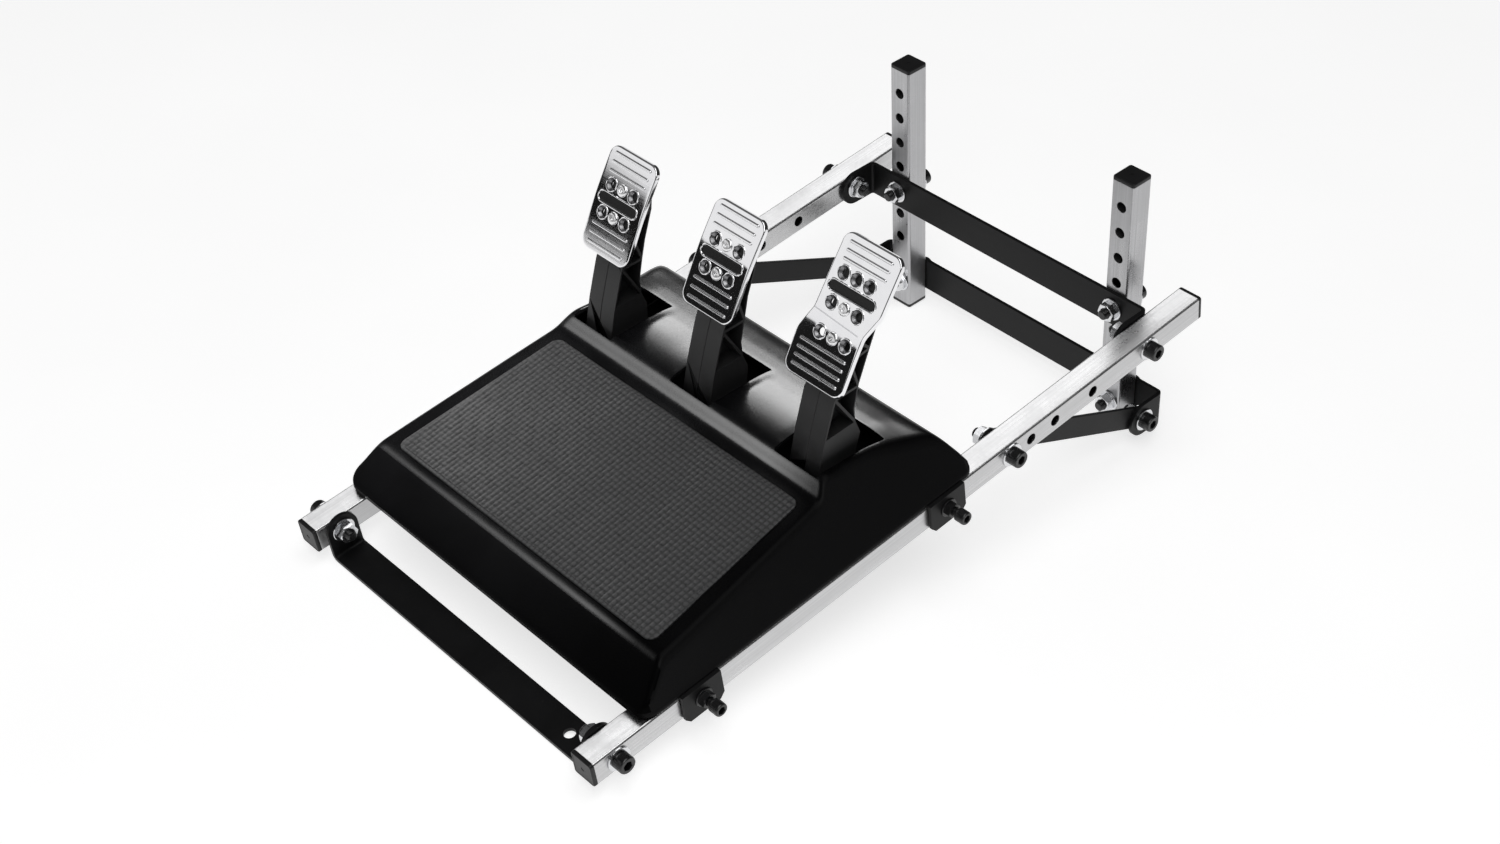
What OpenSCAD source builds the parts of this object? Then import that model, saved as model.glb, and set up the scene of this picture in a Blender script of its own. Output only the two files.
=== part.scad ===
// Pedal stand: a square-tube floor frame with two posts and a three-pedal
// box clamped across its rails. Millimetres, +Z up, the driver sits at -Y.

/* [Tube] */
// outside width of the square tube
tube = 20; // [15:0.5:30]
// wall thickness of the square tube
tube_wall = 1.5; // [1:0.1:3]
// radius of the cross holes in the tube
hole_r = 4.25; // [3:0.05:5.5]
// thickness of the plastic end cap's flange
cap_t = 3; // [2:0.5:6]

/* [Rails] */
// distance from the centre plane to a rail's outer face
rail_out = 163; // [140:1:200]
// length of a rail tube without its caps
rail_len = 583.5; // [480:0.5:700]
// pitch of the rails against the square of the posts, in degrees
rail_pitch = 4.77; // [0:0.01:12]

/* [Posts] */
// distance from the centre plane to a post's outer face
post_out = 122; // [90:1:130]
// height of a post with its caps
post_h = 226; // [180:1:300]
// height of the top hole
post_hole_top = 202.6; // [150:0.1:280]
// spacing of the holes
post_hole_step = 22.37; // [15:0.01:40]

/* [Flat bars] */
// thickness of the bent flat bars
bar_t = 3; // [2:0.5:5]
// height of the two rear bars
bar_h = 28; // [20:1:40]
// width of the front bar
front_w = 25; // [20:1:40]
// width of the brace straps
strap_w = 18; // [16:1:30]

/* [Pedal box] */
// half width of the box at its rim
box_half = 163.5; // [150:0.5:180]
// wall thickness of the box shell
shell_t = 2.5; // [2:0.1:4]
// clutch pedal's distance left of the centre plane
clutch_x = 106; // [100:0.5:110]
// gas pedal's distance right of the centre plane
gas_x = 107; // [104:0.5:108]
// height of the pedal pivots above the rails' undersides
pivot_n = 40; // [36:0.5:44]
// width of a pedal arm
arm_w = 28; // [22:0.5:30]

/* [Shown] */
// node to draw, or all

/* [Hidden] */

$fn = 48;
rail_in = rail_out - tube;
post_in = post_out - tube;
post_x = post_out - tube / 2;
rail_y = -546.4;
rail_z = 60.54;
// cross holes along a rail, from its front end
front_s = 18.5;
strap_s = 381;
spare_s = [401.4, 426.4, 466.3];
rear_s = 527;
hole_n = tube / 2;
// heights of the two rear bars' centres and of the posts' holes
upper_z = 113.1;
lower_z = 24;
post_holes = [for (k = [0:6]) post_hole_top - k * post_hole_step];
tab_y = 1;
// the front bar's underside and the posts' front feet stand on the floor
front_n = -13;
foot_y = rail_y + 6 * cos(rail_pitch) - front_n * sin(rail_pitch);
foot_z = rail_z + 6 * sin(rail_pitch) + front_n * cos(rail_pitch);
lean = atan(foot_z / -foot_y);
shift_y = 262.5;

steel = [0.75, 0.75, 0.77];
black = [0.06, 0.06, 0.065];
bright = [0.86, 0.86, 0.88];

module up() translate([0, shift_y, 0]) rotate([lean, 0, 0]) children();
module on_rail() up() translate([0, rail_y, rail_z]) rotate([rail_pitch, 0, 0]) children();
module both() { children(); mirror([1, 0, 0]) children(); }

// a point given along the rail and square to it, seen from the post's frame
function post_y(s, n) = rail_y + s * cos(rail_pitch) - n * sin(rail_pitch);
function post_zz(s, n) = rail_z + s * sin(rail_pitch) + n * cos(rail_pitch);

// ---------- tubes ----------
module square_tube(len) {
  difference() {
    linear_extrude(len) difference() {
      translate([-tube / 2, -tube / 2]) square(tube);
      translate([-tube / 2 + tube_wall, -tube / 2 + tube_wall]) square(tube - 2 * tube_wall);
    }
    children();
  }
}

module rail() {
  // drawn at +X
  translate([rail_out - tube / 2, 0, tube / 2]) rotate([-90, 0, 0])
    square_tube(rail_len)
      for (s = concat([front_s, strap_s, rear_s], spare_s))
        translate([0, 0, s]) rotate([0, 90, 0])
          translate([0, 0, -tube]) cylinder(r = hole_r, h = 2 * tube);
}

module post() {
  translate([post_x, tube / 2, cap_t])
    square_tube(post_h - 2 * cap_t)
      for (z = concat(post_holes, [lower_z]))
        translate([0, -tube, z - cap_t]) rotate([-90, 0, 0]) cylinder(r = hole_r, h = 2 * tube);
}

// a cap drawn with its flange below z = 0 and its plug above
module cap() {
  plug = tube - 2 * tube_wall - 0.1;
  translate([-tube / 2, -tube / 2, -cap_t]) cube([tube, tube, cap_t]);
  difference() {
    translate([-plug / 2, -plug / 2, -0.5]) cube([plug, plug, 8.5]);
    translate([-plug / 2 + 1.5, -plug / 2 + 1.5, 0]) cube([plug - 3, plug - 3, 10]);
  }
}

module rail_cap_pair() {
  translate([rail_out - tube / 2, 0, tube / 2]) rotate([-90, 0, 0]) cap();
  translate([rail_out - tube / 2, rail_len, tube / 2]) rotate([90, 0, 0]) cap();
}

module post_cap_pair() {
  translate([post_x, tube / 2, cap_t]) cap();
  translate([post_x, tube / 2, post_h - cap_t]) mirror([0, 0, 1]) cap();
}

// ---------- flat bars ----------
// bend from a bar along X into a tab towards -Y; outer corner at (x, 0), outside radius 5
module bend(x) {
  intersection() {
    translate([x - 5, -5]) difference() { circle(r = 5); circle(r = 5 - bar_t); }
    translate([x - 5, -5]) square(5);
  }
}

// a tab in the plane X = const, its round end at (y, z), its hole at (y, zh), reaching back to y1
module tab(x, y, y1, z, h, zh) {
  translate([x, 0, 0]) rotate([90, 0, 90]) linear_extrude(bar_t) difference() {
    union() {
      translate([y, z]) circle(r = h / 2);
      translate([y, z - h / 2]) square([y1 - y, h]);
    }
    translate([y, zh]) circle(r = hole_r);
  }
}

module upper_bar() {
  yb = post_y(rear_s, hole_n);
  zb = post_zz(rear_s, hole_n);
  difference() {
    union() {
      translate([0, 0, upper_z - bar_h / 2]) linear_extrude(bar_h) {
        translate([-rail_in + 5, -bar_t]) square([2 * rail_in - 10, bar_t]);
        bend(rail_in);
        mirror([1, 0]) bend(rail_in);
      }
      both() tab(rail_in - bar_t, yb, -5, upper_z, bar_h, zb);
    }
    for (x = [-post_x, post_x]) translate([x, -10, post_holes[4]])
      rotate([-90, 0, 0]) cylinder(r = hole_r, h = 20);
  }
}

module lower_bar() {
  difference() {
    union() {
      translate([0, tube + bar_t, lower_z - bar_h / 2]) linear_extrude(bar_h) {
        translate([-rail_in - bar_t + 5, -bar_t]) square([2 * (rail_in + bar_t) - 10, bar_t]);
        bend(rail_in + bar_t);
        mirror([1, 0]) bend(rail_in + bar_t);
      }
      both() tab(rail_in, tab_y, tube + bar_t - 5, lower_z, bar_h, lower_z);
    }
    for (x = [-post_x, post_x]) translate([x, 10, lower_z])
      rotate([-90, 0, 0]) cylinder(r = hole_r, h = 20);
  }
}

module front_bar() {
  difference() {
    union() {
      translate([0, front_s + front_w / 2, 0]) rotate([90, 0, 0]) linear_extrude(front_w) {
        translate([-rail_in + 5, front_n]) square([2 * rail_in - 10, bar_t]);
        translate([0, front_n]) mirror([0, 1]) bend(rail_in);
        translate([0, front_n]) mirror([0, 1]) mirror([1, 0]) bend(rail_in);
      }
      both() translate([rail_in - bar_t, 0, 0]) rotate([90, 0, 90]) linear_extrude(bar_t)
        difference() {
          union() {
            translate([front_s, hole_n]) circle(r = front_w / 2);
            translate([front_s - front_w / 2, front_n + 5]) square([front_w, hole_n - front_n - 5]);
          }
          translate([front_s, hole_n]) circle(r = hole_r);
        }
    }
    translate([109, front_s, front_n - 5]) cylinder(r = hole_r, h = 20);
  }
}

module brace() {
  a = [post_y(strap_s, hole_n), post_zz(strap_s, hole_n)];
  b = [tab_y, lower_z];
  len = norm(b - a);
  ang = atan2(b[1] - a[1], b[0] - a[0]);
  translate([rail_in - bar_t, 0, 0]) rotate([90, 0, 90]) linear_extrude(bar_t)
    translate(a) rotate(ang) difference() {
      union() {
        circle(r = strap_w / 2);
        translate([len, 0]) circle(r = strap_w / 2);
        translate([0, -strap_w / 2]) square([len, strap_w]);
      }
      circle(r = hole_r);
      translate([len, 0]) circle(r = hole_r);
    }
}

// ---------- fasteners, drawn along +Z with the head's underside at z = 0 and the shank below ----------
module bolt(len) {
  difference() {
    union() {
      cylinder(r = 6.5, h = 8);
      translate([0, 0, -len]) cylinder(r = 4, h = len + 1);
    }
    translate([0, 0, 3.5]) cylinder(r = 6 / sqrt(3), h = 6, $fn = 6);
  }
}
module washer() difference() {
  cylinder(r = 9, h = 1.6);
  translate([0, 0, -1]) cylinder(r = 4.1, h = 4);
}
module nut() difference() {
  cylinder(r = 13 / sqrt(3), h = 6.5, $fn = 6);
  translate([0, 0, -1]) cylinder(r = 4.05, h = 9);
}

// places for the fasteners that cross the rails: +Z of the child is the outward X direction
module at_rail_bolts(x) on_rail() both()
  for (s = [front_s, strap_s, rear_s]) translate([x, s, hole_n]) rotate([0, 90, 0]) children();
module at_tab_bolts(x) up() both()
  translate([x, tab_y, lower_z]) rotate([0, 90, 0]) children();
module at_post_bolts(y, z) up()
  for (x = [-post_x, post_x]) translate([x, y, z]) rotate([-90, 0, 0]) children();

// ---------- pedal box ----------
// the box's side view: distance along the rail, height above the rail's underside
top_line = [[42, 26], [43, 28.3], [54, 37.2], [66, 47.2], [69, 49.6], [73, 51.4], [78, 51.9],
  [110, 54.4], [150, 57.6], [190, 60.8], [222, 63.3], [226, 63.9], [228, 65.4], [229.6, 67.8],
  [231.2, 70.2], [233, 72.1], [235, 73.3], [238, 74.1], [242, 74.6], [247, 74.8], [252, 74.8],
  [258, 74.5], [264, 74], [270, 73.2], [280, 71.4], [292, 68.2], [305, 64.2], [318, 59.2], [325, 55.8], [329, 53],
  [333, 48.2], [338, 39.2], [343, 29.2], [345, 26]];
rim_n = 22.5;
lip_n = 25.5;

// side slope at a station
function slope(s) = lookup(s, [[42, 0.38], [75, 0.43], [150, 0.55], [220, 0.64], [345, 0.63]]);
// half width at the rim, with the corners rounded in plan
function corner(d, r) = d >= r ? 0 : r - sqrt(max(0, r * r - (r - d) * (r - d)));
function rim_half(s) = box_half - corner(s - 42, 12) - corner(345 - s, 10);

// half of a cross-section, from the rim up to the middle of the top
function half_section(s, n, d) =
  let (w = rim_half(s) - d, k = slope(s), nt = n - d,
       xt = w - k * max(0, nt - lip_n),
       e = min(lookup(s, [[270, 6], [325, 10]]), max(0.2, (nt - lip_n) * 0.4)),
       len = sqrt(1 + k * k),
       a = [xt + k * e / len, nt - e / len], c = [xt, nt], b = [xt - e, nt])
  concat([[w, d > 0 ? rim_n - 5 : rim_n], [w, lip_n - 0.01]],
    [for (i = [0:4]) let (t = i / 4) a * (1 - t) * (1 - t) + c * 2 * t * (1 - t) + b * t * t]);

module box_solid(d) {
  line = [for (p = top_line) if (p[0] > 42 + d - 0.5 && p[0] < 345 - d + 0.5 && p[1] - d > lip_n + 0.3 || d == 0) p];
  rings = [for (p = line) let (h = half_section(p[0], p[1], d))
    concat([for (q = h) [q[0], p[0], q[1]]],
           [for (i = [len(h) - 1:-1:0]) [-h[i][0], p[0], h[i][1]]])];
  m = len(rings[0]);
  k = len(rings);
  polyhedron(
    points = [for (r = rings) for (p = r) p],
    faces = concat(
      [[for (i = [m - 1:-1:0]) i]],
      [[for (i = [0:m - 1]) (k - 1) * m + i]],
      [for (j = [0:k - 2]) for (i = [0:m - 1]) let (i2 = (i + 1) % m)
        each [[j * m + i, j * m + i2, (j + 1) * m + i],
              [j * m + i2, (j + 1) * m + i2, (j + 1) * m + i]]]));
}

pedal_x = [-clutch_x, 0, gas_x];
slot_s0 = 234.2;
slot_s1 = [292, 292, 296];
slot_half = 22;

module box_shell_shape() difference() {
  box_solid(0);
  box_solid(shell_t);
  for (i = [0:2]) translate([pedal_x[i] - slot_half, slot_s0, 45]) cube([2 * slot_half, slot_s1[i] - slot_s0, 60]);
  mat_shape(0.1, -0.55);
}

clamp_s = [88, 314];

module floor_shape() difference() {
  linear_extrude(rim_n - tube) difference() {
    w = box_half - 1.5;
    union() {
      translate([-w, 53.5]) square([2 * w, 275]);
      translate([-w + 15, 43.5]) square([2 * w - 30, 300]);
      for (x = [-w + 15, w - 15]) for (y = [58.5, 328.5]) translate([x, y]) circle(r = 15);
    }
    for (s = clamp_s) for (x = [-1, 1])
      translate([x > 0 ? 144 : -170, s - 18]) square([26, 36]);
  }
}

// footrest mat: a wedge-sided sheet lying in the deck
module mat_shape(grow, drop) {
  // the deck rises 0.08 per mm from (75, 51.6)
  a = atan(0.08);
  h0 = 138.5 + grow;
  h1 = 127.7 + grow;
  translate([0, 75 - grow, 51.6 + drop]) rotate([a, 0, 0])
    linear_extrude(grow > 0 ? 3 : 1.4) polygon([
      [-h0 + 7, 0], [h0 - 7, 0], [h0 - 2.2, 2.1], [h0 - 0.3, 7],
      [h1 + 0.3, 136 + 2 * grow], [h1 - 1.9, 141 + 2 * grow], [h1 - 7, 143 + 2 * grow],
      [-h1 + 7, 143 + 2 * grow], [-h1 + 1.9, 141 + 2 * grow], [-h1 - 0.3, 136 + 2 * grow],
      [-h0 + 0.3, 7], [-h0 + 2.2, 2.1]]);
}

pivot_s = 256;

module pivot_stand_pair(x) for (m = [-1, 1]) translate([x + m * 17.2 - 2, 0, 0])
  rotate([90, 0, 90]) linear_extrude(4) difference() {
    union() {
      translate([pivot_s, pivot_n]) circle(r = 9);
      polygon([[pivot_s - 16, rim_n], [pivot_s + 16, rim_n], [pivot_s + 9, pivot_n], [pivot_s - 9, pivot_n]]);
    }
    translate([pivot_s, pivot_n]) circle(r = 5.02);
  }

module pivot_pin(x) translate([x - 19.2, pivot_s, pivot_n]) rotate([0, 90, 0]) cylinder(r = 5, h = 38.4);

// ---------- pedals ----------
// each: plate centre [along, height], tilt, depth added at the back of the arm
clutch_c = [274.6, 161];
clutch_tilt = 34.5;
brake_c = [278.3, 164.6];
brake_tilt = 36.7;
gas_c = [290.4, 171.4];
gas_tilt = 38.7;

// a point in the plate's own frame: u up the plate, v behind its front face
function pp(c, t, u, v) = [c[0] + u * sin(t) + v * cos(t), c[1] + u * cos(t) - v * sin(t)];

// an anticlockwise outline moved inwards by d
function poly_in(q, d) = let (m = len(q)) [for (i = [0:m - 1])
  let (a = q[(i + m - 1) % m], b = q[i], c = q[(i + 1) % m],
       u = (b - a) / norm(b - a), v = (c - b) / norm(c - b),
       nu = [-u[1], u[0]], nv = [-v[1], v[0]])
  b + (nu + nv) * d / (1 + nu * nv)];
// point of a rising edge at height n
function at_n(e, n) = [lookup(n, [for (q = e) [q[1], q[0]]]), n];

function front_edge(c, t, g) = [[240.8 + g, 71], [246.6 + g, 88], [252.8 + g, 103], [258.8 + g, 117],
  pp(c, t, -31, 10.2), pp(c, t, -16, 7.2)];
function rear_edge(c, t, g) = [[277 + g, 78], [273.8 + g, 90], [274.2 + g, 101], [280 + g, 118.5],
  pp(c, t, -19, 23.3), pp(c, t, 4, 19.5)];

module arm(x, c, t, g, uh, ut) {
  f = front_edge(c, t, g);
  r = rear_edge(c, t, g * 2);
  w = arm_w / 2;
  translate([x, 0, 0]) rotate([90, 0, 90]) difference() {
    union() {
      translate([0, 0, -w]) linear_extrude(2 * w)
        polygon(concat([[pivot_s - 9.4, pivot_n + 3.4], [238.4 + g, 64]], f,
          [pp(c, t, -16, 4), pp(c, t, ut, 4), pp(c, t, ut, 10)],
          [for (i = [5:-1:0]) r[i]],
          [[pivot_s + 16, pivot_n + 16], [pivot_s + 9.4, pivot_n - 3.4]]));
      translate([pivot_s, pivot_n, -w]) cylinder(r = 10, h = 2 * w);
    }
    translate([pivot_s, pivot_n, -w - 1]) cylinder(r = 5.06, h = 2 * w + 2);
    // lattice pockets either side of a middle web
    f0 = at_n(f, 90); f1 = at_n(f, 119);
    r0 = at_n(r, 88.5); r1 = at_n(r, 117.5);
    pockets = concat([[f0, r0, f1], [r0, r[2], r1, f1]],
      g == 2
        ? [[f1, r1, f[4]], [r1, r[4], f[4]], [f[4], r[4], f[5]], [r[4], r[5], f[5]]]
        : [[f1, r1, f[5], f[4]], [r1, r[4], r[5], f[5]]]);
    for (m = [0, 1]) mirror([0, 0, m]) translate([0, 0, 2]) linear_extrude(w)
      for (q = pockets) polygon(poly_in(q, 1));
    // screw holes behind the plate
    for (u = uh) translate([pp(c, t, u, -2)[0], pp(c, t, u, -2)[1], 0])
      rotate([0, 0, -t]) rotate([0, 90, 0]) cylinder(r = 2.6, h = 16.5);
  }
}

// plate frame: +X across, +Y up the plate, +Z towards the driver, z = 0 on the front face
module on_plate(x, c, t) translate([x, c[0], c[1]]) rotate([90 - t, 0, 0]) children();

module rounded(x0, x1, y0, y1, r) union() {
  translate([x0 + r, y0]) square([x1 - x0 - 2 * r, y1 - y0]);
  translate([x0, y0 + r]) square([x1 - x0, y1 - y0 - 2 * r]);
  for (x = [x0 + r, x1 - r]) for (y = [y0 + r, y1 - r]) translate([x, y]) circle(r = r);
}

// a raised bar across the plate
module rib(x0, x1, y) translate([0, 0, -0.5]) linear_extrude(1.5) {
  translate([x0, y - 1.3]) square([x1 - x0, 2.6]);
  for (x = [x0, x1]) translate([x, y]) circle(r = 1.3);
}

module dished_hole(x, u) {
  translate([x, u, -6]) cylinder(r = 3, h = 10);
  translate([x, u, -1.9]) cylinder(r1 = 3, r2 = 5, h = 2);
}
module plate_holes(rows, sx) for (u = rows) for (x = [-sx, sx]) dished_hole(x, u);
module screw_holes(rows) for (u = rows) translate([0, u, -6]) cylinder(r = 2.6, h = 10);

module short_plate(x, c, t) on_plate(x, c, t) difference() {
  union() {
    translate([0, 0, -4]) linear_extrude(4) rounded(-24.5, 25.5, -40, 37.5, 8);
    for (u = [19.5, 26, 32.5]) rib(-17.5, 18.5, u);
    for (u = [-20, -27, -34]) rib(-17.5, 18.5, u);
  }
  plate_holes([10.5, -10.5], 11.7);
  screw_holes([10.5, -10.5]);
  translate([0, 0, -0.8]) linear_extrude(2) rounded(-20, 20, -3.6, 3.6, 3.5);
}

module long_plate(x) on_plate(x, gas_c, gas_tilt) difference() {
  union() {
    translate([0, 0, -4]) linear_extrude(4) {
      rounded(-23.5, 29, 2, 47.5, 8);
      polygon([[-23.5, 10], [-24.3, -8.3], [-31, -26], [-31, -49], [-24, -56], [16, -56], [22.8, -49],
        [22.6, -11.3], [29, 6], [29, 10]]);
      for (x = [-24, 15.8]) translate([x, -49]) circle(r = 7);
    }
    for (u = [29.5, 35.5, 41.5]) rib(-16, 21, u);
    for (u = [-31, -37, -43, -49]) rib(-24, 16, u);
  }
  plate_holes([21, 0, -21], 11.8);
  dished_hole(0, 21);
  // crease where the foot of the plate bends away
  translate([-25, -8.6, 0]) rotate([0, 0, -3.6]) rotate([45, 0, 0]) translate([0, -0.5, -0.5]) cube([44, 1, 1]);
  screw_holes([0, -21]);
  translate([0, 0, -0.8]) linear_extrude(2) rounded(-20, 22, 7, 14, 3.4);
}

module plate_screws(x, c, t, rows) on_plate(x, c, t) for (u = rows) translate([0, u, 0]) difference() {
  union() {
    cylinder(r = 4.7, h = 1.6);
    translate([0, 0, -13]) cylinder(r = 2.5, h = 14);
  }
  translate([0, 0, 0.6]) cylinder(r = 3 / sqrt(3), h = 3, $fn = 6);
}

// ---------- clamps ----------
// drawn at +X: an angle over the rail, its flange under the box
module clamp_bracket(s) {
  difference() {
    translate([rail_out + 1, 0, 0]) rotate([90, 0, 90]) linear_extrude(2.5)
      polygon([[s - 16.5, rim_n], [s + 16.5, rim_n], [s + 16.8, 2], [s + 13, -2.3],
        [s - 13, -2.3], [s - 16.8, 2]]);
    translate([rail_out, s, 11]) rotate([0, 90, 0]) cylinder(r = 3.05, h = 6);
  }
  translate([rail_in + 3, s - 16.5, tube]) cube([tube - 1, 33, rim_n - tube]);
}
module clamp_screw(s) translate([rail_out, s, 11]) rotate([0, 90, 0]) difference() {
  union() {
    cylinder(r = 3, h = 14);
    translate([0, 0, 13]) cylinder(r = 5, h = 8);
  }
  translate([0, 0, 17.5]) cylinder(r = 5 / sqrt(3), h = 5, $fn = 6);
}
module clamp_nut(s) translate([rail_out + 3.5, s, 11]) rotate([0, 90, 0]) difference() {
  union() {
    cylinder(r = 7, h = 1.2);
    cylinder(r = 10 / sqrt(3), h = 6, $fn = 6);
  }
  translate([0, 0, -1]) cylinder(r = 3.05, h = 9);
}

// ---------- nodes ----------
module left_rail() color(steel) on_rail() mirror([1, 0, 0]) rail();
module right_rail() color(steel) on_rail() rail();
module left_rail_caps() color(black) on_rail() mirror([1, 0, 0]) rail_cap_pair();
module right_rail_caps() color(black) on_rail() rail_cap_pair();
module left_post() color(steel) up() mirror([1, 0, 0]) post();
module right_post() color(steel) up() post();
module left_post_caps() color(black) up() mirror([1, 0, 0]) post_cap_pair();
module right_post_caps() color(black) up() post_cap_pair();
module front_crossbar() color(black) on_rail() front_bar();
module upper_crossbar() color(black) up() upper_bar();
module lower_crossbar() color(black) up() lower_bar();
module left_brace() color(black) up() mirror([1, 0, 0]) brace();
module right_brace() color(black) up() brace();
module rail_bolts() color(black) at_rail_bolts(rail_out + 1.6) bolt(36.6);
module rail_washers() color(bright) {
  at_rail_bolts(rail_out) washer();
  at_rail_bolts(rail_in - bar_t - 1.6) washer();
}
module rail_nuts() color(bright) at_rail_bolts(rail_in - bar_t - 8.1) nut();
module post_bolts() color(black) {
  at_post_bolts(tube + 1.6, post_holes[4]) bolt(tube + 1.6 + 15);
  at_post_bolts(tube + bar_t + 1.6, lower_z) bolt(tube + bar_t + 1.6 + 12);
}
module post_washers() color(bright) {
  at_post_bolts(tube, post_holes[4]) washer();
  at_post_bolts(-bar_t - 1.6, post_holes[4]) washer();
  at_post_bolts(tube + bar_t, lower_z) washer();
  at_post_bolts(-1.6, lower_z) washer();
}
module post_nuts() color(bright) {
  at_post_bolts(-bar_t - 8.1, post_holes[4]) nut();
  at_post_bolts(-8.1, lower_z) nut();
}
module brace_bolts() color(black) at_tab_bolts(rail_in + bar_t + 1.6) bolt(19.6);
module brace_washers() color(bright) {
  at_tab_bolts(rail_in + bar_t) washer();
  at_tab_bolts(rail_in - bar_t - 1.6) washer();
}
module brace_nuts() color(bright) at_tab_bolts(rail_in - bar_t - 8.1) nut();
module clamp_brackets() color(black) on_rail() both() for (s = clamp_s) clamp_bracket(s);
module clamp_screws() color(black) on_rail() both() for (s = clamp_s) clamp_screw(s);
module clamp_nuts() color(black) on_rail() both() for (s = clamp_s) clamp_nut(s);
module box_shell() color(black) on_rail() box_shell_shape();
module box_floor() color(black) on_rail() translate([0, 0, tube]) floor_shape();
module pivot_stands() color(black) on_rail() for (x = pedal_x) pivot_stand_pair(x);
module pivot_pins() color(steel) on_rail() for (x = pedal_x) pivot_pin(x);
module footrest_mat() color([0.12, 0.12, 0.12]) on_rail() mat_shape(0, -0.5);
module clutch_arm() color(black) on_rail() arm(-clutch_x, clutch_c, clutch_tilt, -1, [10.5, -10.5], 27);
module clutch_plate() color(bright) on_rail() short_plate(-clutch_x, clutch_c, clutch_tilt);
module clutch_screws() color(steel) on_rail() plate_screws(-clutch_x, clutch_c, clutch_tilt, [10.5, -10.5]);
module brake_arm() color(black) on_rail() arm(0, brake_c, brake_tilt, 0, [10.5, -10.5], 27);
module brake_plate() color(bright) on_rail() short_plate(0, brake_c, brake_tilt);
module brake_screws() color(steel) on_rail() plate_screws(0, brake_c, brake_tilt, [10.5, -10.5]);
module gas_arm() color(black) on_rail() arm(gas_x, gas_c, gas_tilt, 2, [0, -21], 36);
module gas_plate() color(bright) on_rail() long_plate(gas_x);
module gas_screws() color(steel) on_rail() plate_screws(gas_x, gas_c, gas_tilt, [0, -21]);

left_rail();
right_rail();
left_rail_caps();
right_rail_caps();
left_post();
right_post();
left_post_caps();
right_post_caps();
front_crossbar();
upper_crossbar();
lower_crossbar();
left_brace();
right_brace();
rail_bolts();
rail_washers();
rail_nuts();
post_bolts();
post_washers();
post_nuts();
brace_bolts();
brace_washers();
brace_nuts();
clamp_brackets();
clamp_screws();
clamp_nuts();
box_shell();
box_floor();
pivot_stands();
pivot_pins();
footrest_mat();
clutch_arm();
clutch_plate();
clutch_screws();
brake_arm();
brake_plate();
brake_screws();
gas_arm();
gas_plate();
gas_screws();
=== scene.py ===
import math

import bmesh
import bpy
from mathutils import Matrix, Vector, noise


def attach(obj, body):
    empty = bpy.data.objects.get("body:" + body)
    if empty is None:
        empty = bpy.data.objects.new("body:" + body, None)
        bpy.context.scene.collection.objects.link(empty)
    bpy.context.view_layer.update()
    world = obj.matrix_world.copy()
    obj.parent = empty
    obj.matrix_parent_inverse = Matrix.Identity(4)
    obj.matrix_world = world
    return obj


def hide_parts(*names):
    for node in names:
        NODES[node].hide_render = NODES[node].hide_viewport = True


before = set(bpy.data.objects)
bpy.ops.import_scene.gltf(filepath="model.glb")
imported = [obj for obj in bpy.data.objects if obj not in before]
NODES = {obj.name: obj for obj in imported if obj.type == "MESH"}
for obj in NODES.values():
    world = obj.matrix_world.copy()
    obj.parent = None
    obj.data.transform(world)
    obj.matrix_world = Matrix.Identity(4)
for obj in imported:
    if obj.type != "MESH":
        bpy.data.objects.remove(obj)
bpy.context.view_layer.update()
COLL = bpy.context.scene.collection
rad = math.radians

# ---------------------------------------------------------------- frames, in millimetres
TUBE, WALL, HOLE_R, CAP_T = 20.0, 1.5, 4.25, 3.0
RAIL_OUT, RAIL_LEN = 163.0, 583.5
RAIL_IN = RAIL_OUT - TUBE
POST_X, POST_H = 112.0, 226.0
POST_HOLES = [202.6 - 22.37 * k for k in range(7)]
LOWER_Z, TAB_Y, BAR_T = 24.0, 1.0, 3.0
RAIL_HOLES = [18.5, 381.0, 527.0, 401.4, 426.4, 466.3]
RAIL_Y, RAIL_Z, SHIFT_Y, FRONT_N = -546.4, 60.54, 262.5, -13.0
PITCH = rad(4.77)
LEAN = math.atan2(RAIL_Z + 6 * math.sin(PITCH) + FRONT_N * math.cos(PITCH),
                  -(RAIL_Y + 6 * math.cos(PITCH) - FRONT_N * math.sin(PITCH)))
T = Matrix.Translation
UP = T((0, SHIFT_Y, 0)) @ Matrix.Rotation(LEAN, 4, "X")
RAIL = UP @ T((0, RAIL_Y, RAIL_Z)) @ Matrix.Rotation(PITCH, 4, "X")
FLIP = Matrix.Diagonal((-1, 1, 1, 1))
TO_M = Matrix.Scale(0.001, 4)
RY = Matrix.Rotation(rad(90), 4, "Y")
RXM = Matrix.Rotation(rad(-90), 4, "X")
PEDAL_X = [-106.0, 0.0, 107.0]
CLUTCH = ((274.6, 161.0), 34.5)
BRAKE = ((278.3, 164.6), 36.7)
GAS = ((290.4, 171.4), 38.7)


# ---------------------------------------------------------------- materials
def new_material(name):
    m = bpy.data.materials.new(name)
    m.use_nodes = True
    nt = m.node_tree
    return m, nt, nt.nodes["Principled BSDF"]


def coords(nt, scale=(1, 1, 1), tilt=0.0, turn=0.0):
    tc = nt.nodes.new("ShaderNodeTexCoord")
    rot = nt.nodes.new("ShaderNodeMapping")
    rot.inputs["Rotation"].default_value = (tilt, 0, turn)
    nt.links.new(tc.outputs["Object"], rot.inputs["Vector"])
    mp = nt.nodes.new("ShaderNodeMapping")
    mp.inputs["Scale"].default_value = scale
    nt.links.new(rot.outputs["Vector"], mp.inputs["Vector"])
    return mp.outputs["Vector"]


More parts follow.
